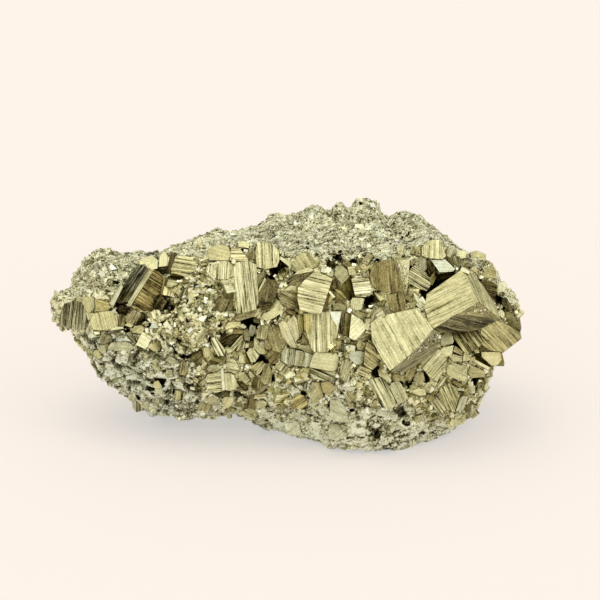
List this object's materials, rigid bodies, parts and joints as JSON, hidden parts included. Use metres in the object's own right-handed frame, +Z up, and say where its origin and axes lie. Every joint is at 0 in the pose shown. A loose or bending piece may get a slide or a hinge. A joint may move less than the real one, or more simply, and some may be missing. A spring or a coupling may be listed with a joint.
{
  "type": "pyrite specimen",
  "caption": "Pyrite cluster of striated metallic cubes and blocks grown together on massive ore, with a flat underside to stand on.",
  "frame": {"origin": "under the middle of the cluster's bounding box, in the plane that it rests on", "axes": "+Z up, +X along the length towards the end with the largest crystals, -Y towards the display side"},
  "size_m": [0.094, 0.0576, 0.0425],
  "materials": {
    "pyrite": "pale brass-yellow mineral with metallic lustre: striated crystal faces and granular masses with a green-grey cast"
  },
  "bodies": {
    "root": {"pyrite_cluster": "pyrite"}
  },
  "joints": []
}
